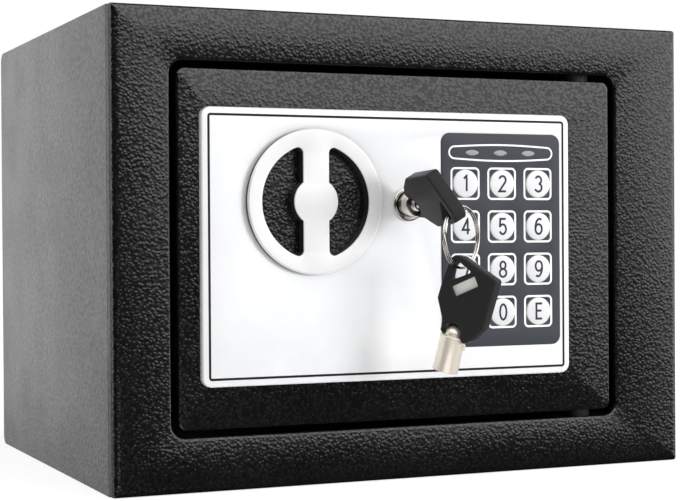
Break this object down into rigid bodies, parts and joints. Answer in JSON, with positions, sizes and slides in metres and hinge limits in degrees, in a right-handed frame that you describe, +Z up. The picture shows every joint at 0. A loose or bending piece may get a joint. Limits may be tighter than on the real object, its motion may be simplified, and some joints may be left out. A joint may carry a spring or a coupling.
{
  "type": "safe deposit box",
  "caption": "Small steel safe with a hinged door, turning bolt knob, keypad, emergency tubular lock with its key in it and a spare key on a ring.",
  "frame": {"origin": "centre of the base footprint, on the underside of the base", "axes": "+X to the right seen from the front, +Y to the back, +Z up"},
  "size_m": [0.23, 0.2201, 0.17],
  "materials": {
    "wall_paint": "fine textured powder coat",
    "front_paint": "coarse wrinkle powder coat",
    "inner_paint": "satin powder coat",
    "felt": "felt",
    "steel": "bright zinc",
    "nylon": "satin",
    "silver_plastic": "pearl silver lacquer",
    "keypad_plastic": "satin slate grey",
    "cap_silver": "satin silver",
    "lamp_lens": "translucent grey",
    "circuit_board": "solder mask",
    "black_plastic": "satin",
    "nickel": "polished nickel plate",
    "knob_metal": "satin silver",
    "coil_tape": "coil tape",
    "cell_sleeve": "shrink sleeve",
    "lead_red": "satin",
    "button_red": "satin"
  },
  "bodies": {
    "cabinet": {"cabinet_wrap": "wall_paint", "side_panels": "wall_paint", "front_frame": "front_paint", "hinge_brackets": "inner_paint", "bolt_keeper": "inner_paint", "floor_mat": "felt"},
    "door": {"door_plate": "front_paint", "door_pan": "inner_paint", "inner_cover": "inner_paint", "cover_screws": "steel", "hinge_pins": "inner_paint", "hinge_spacers": "nylon", "face_plate": "silver_plastic", "face_plate_screws": "steel", "keypad_panel": "keypad_plastic", "indicator_leds": "lamp_lens", "keypad_board": "circuit_board", "key_switches": "black_plastic", "lock_barrel": "nickel", "lock_nut": "steel", "solenoid_frame": "steel", "solenoid_coil": "coil_tape", "plunger_spring": "steel", "bolt_guides": "steel", "guide_studs": "steel", "battery_box": "black_plastic", "battery_cells": "cell_sleeve", "battery_contacts": "steel", "wiring": "lead_red", "reset_switch": "black_plastic"},
    "knob_set": {"knob": "knob_metal", "knob_spindle": "steel", "bolt_cam": "steel", "cam_screw": "steel"},
    "bolts": {"bolt_carriage": "steel", "locking_bolts": "steel", "bolt_rivets": "steel"},
    "lock_rotor": {"lock_plug": "nickel", "lock_cam": "steel", "lock_cam_screw": "steel"},
    "plunger": {"solenoid_plunger": "steel"},
    "lock_key": {"lock_key_metal": "nickel", "lock_key_head": "black_plastic"},
    "ring": {"key_ring": "nickel"},
    "spare_key": {"spare_key_metal": "nickel", "spare_key_head": "black_plastic"},
    "bay_lid": {"battery_lid": "inner_paint"},
    "reset": {"reset_button": "button_red"},
    "key_1_button": {"key_1": "cap_silver"},
    "key_2_button": {"key_2": "cap_silver"},
    "key_3_button": {"key_3": "cap_silver"},
    "key_4_button": {"key_4": "cap_silver"},
    "key_5_button": {"key_5": "cap_silver"},
    "key_6_button": {"key_6": "cap_silver"},
    "key_7_button": {"key_7": "cap_silver"},
    "key_8_button": {"key_8": "cap_silver"},
    "key_9_button": {"key_9": "cap_silver"},
    "key_cancel_button": {"key_cancel": "cap_silver"},
    "key_0_button": {"key_0": "cap_silver"},
    "key_enter_button": {"key_enter": "cap_silver"}
  },
  "joints": [
    {"name": "door_swing", "type": "hinge", "parent": "cabinet", "child": "door", "pos_m": [0.0735, -0.0795, 0.08525], "axis": [0, 0, 1], "range_deg": [0, 95]},
    {"name": "knob_turn", "type": "hinge", "parent": "door", "child": "knob_set", "pos_m": [-0.0413, -0.0885, 0.1018], "axis": [0, -1, 0], "range_deg": [0, 90]},
    {"name": "bolt_slide", "type": "slide", "parent": "door", "child": "bolts", "axis": [-1, 0, 0], "range_m": [0, 0.01414]},
    {"name": "lock_turn", "type": "hinge", "parent": "door", "child": "lock_rotor", "pos_m": [-0.004, -0.0885, 0.101], "axis": [0, -1, 0], "range_deg": [-90, 0]},
    {"name": "plunger_slide", "type": "slide", "parent": "door", "child": "plunger", "axis": [0, 0, 1], "range_m": [0, 0.00501], "deforming": ["plunger_spring"]},
    {"name": "key_pull", "type": "slide", "parent": "lock_rotor", "child": "lock_key", "axis": [0, -1, 0], "range_m": [0, 0.012]},
    {"name": "ring_swing", "type": "hinge", "parent": "lock_key", "child": "ring", "pos_m": [-0.00215, -0.1216, 0.0978], "axis": [0.7094, 0.4096, 0.5736], "range_deg": [-20, 20]},
    {"name": "spare_swing", "type": "hinge", "parent": "ring", "child": "spare_key", "pos_m": [0.00326, -0.11847, 0.07797], "axis": [0.866, 0.5, 0], "range_deg": [-20, 20]},
    {"name": "lid_hinge", "type": "hinge", "parent": "door", "child": "bay_lid", "pos_m": [0.04, -0.0552, 0.1236], "axis": [1, 0, 0], "range_deg": [0, 100]},
    {"name": "reset_press", "type": "slide", "parent": "door", "child": "reset", "axis": [0, -1, 0], "range_m": [0, 0.001], "stiffness_N_per_m": 400},
    {"name": "key_1_press", "type": "slide", "parent": "door", "child": "key_1_button", "axis": [0, 1, 0], "range_m": [0, 0.0006], "stiffness_N_per_m": 800},
    {"name": "key_2_press", "type": "slide", "parent": "door", "child": "key_2_button", "axis": [0, 1, 0], "range_m": [0, 0.0006], "stiffness_N_per_m": 800},
    {"name": "key_3_press", "type": "slide", "parent": "door", "child": "key_3_button", "axis": [0, 1, 0], "range_m": [0, 0.0006], "stiffness_N_per_m": 800},
    {"name": "key_4_press", "type": "slide", "parent": "door", "child": "key_4_button", "axis": [0, 1, 0], "range_m": [0, 0.0006], "stiffness_N_per_m": 800},
    {"name": "key_5_press", "type": "slide", "parent": "door", "child": "key_5_button", "axis": [0, 1, 0], "range_m": [0, 0.0006], "stiffness_N_per_m": 800},
    {"name": "key_6_press", "type": "slide", "parent": "door", "child": "key_6_button", "axis": [0, 1, 0], "range_m": [0, 0.0006], "stiffness_N_per_m": 800},
    {"name": "key_7_press", "type": "slide", "parent": "door", "child": "key_7_button", "axis": [0, 1, 0], "range_m": [0, 0.0006], "stiffness_N_per_m": 800},
    {"name": "key_8_press", "type": "slide", "parent": "door", "child": "key_8_button", "axis": [0, 1, 0], "range_m": [0, 0.0006], "stiffness_N_per_m": 800},
    {"name": "key_9_press", "type": "slide", "parent": "door", "child": "key_9_button", "axis": [0, 1, 0], "range_m": [0, 0.0006], "stiffness_N_per_m": 800},
    {"name": "key_cancel_press", "type": "slide", "parent": "door", "child": "key_cancel_button", "axis": [0, 1, 0], "range_m": [0, 0.0006], "stiffness_N_per_m": 800},
    {"name": "key_0_press", "type": "slide", "parent": "door", "child": "key_0_button", "axis": [0, 1, 0], "range_m": [0, 0.0006], "stiffness_N_per_m": 800},
    {"name": "key_enter_press", "type": "slide", "parent": "door", "child": "key_enter_button", "axis": [0, 1, 0], "range_m": [0, 0.0006], "stiffness_N_per_m": 800}
  ],
  "couplings": [
    {"joint": "knob_turn", "follows": "bolt_slide", "rad_per_m": 111.07},
    {"joint": "plunger_slide", "follows": "lock_turn", "m_per_rad": -0.003183}
  ]
}
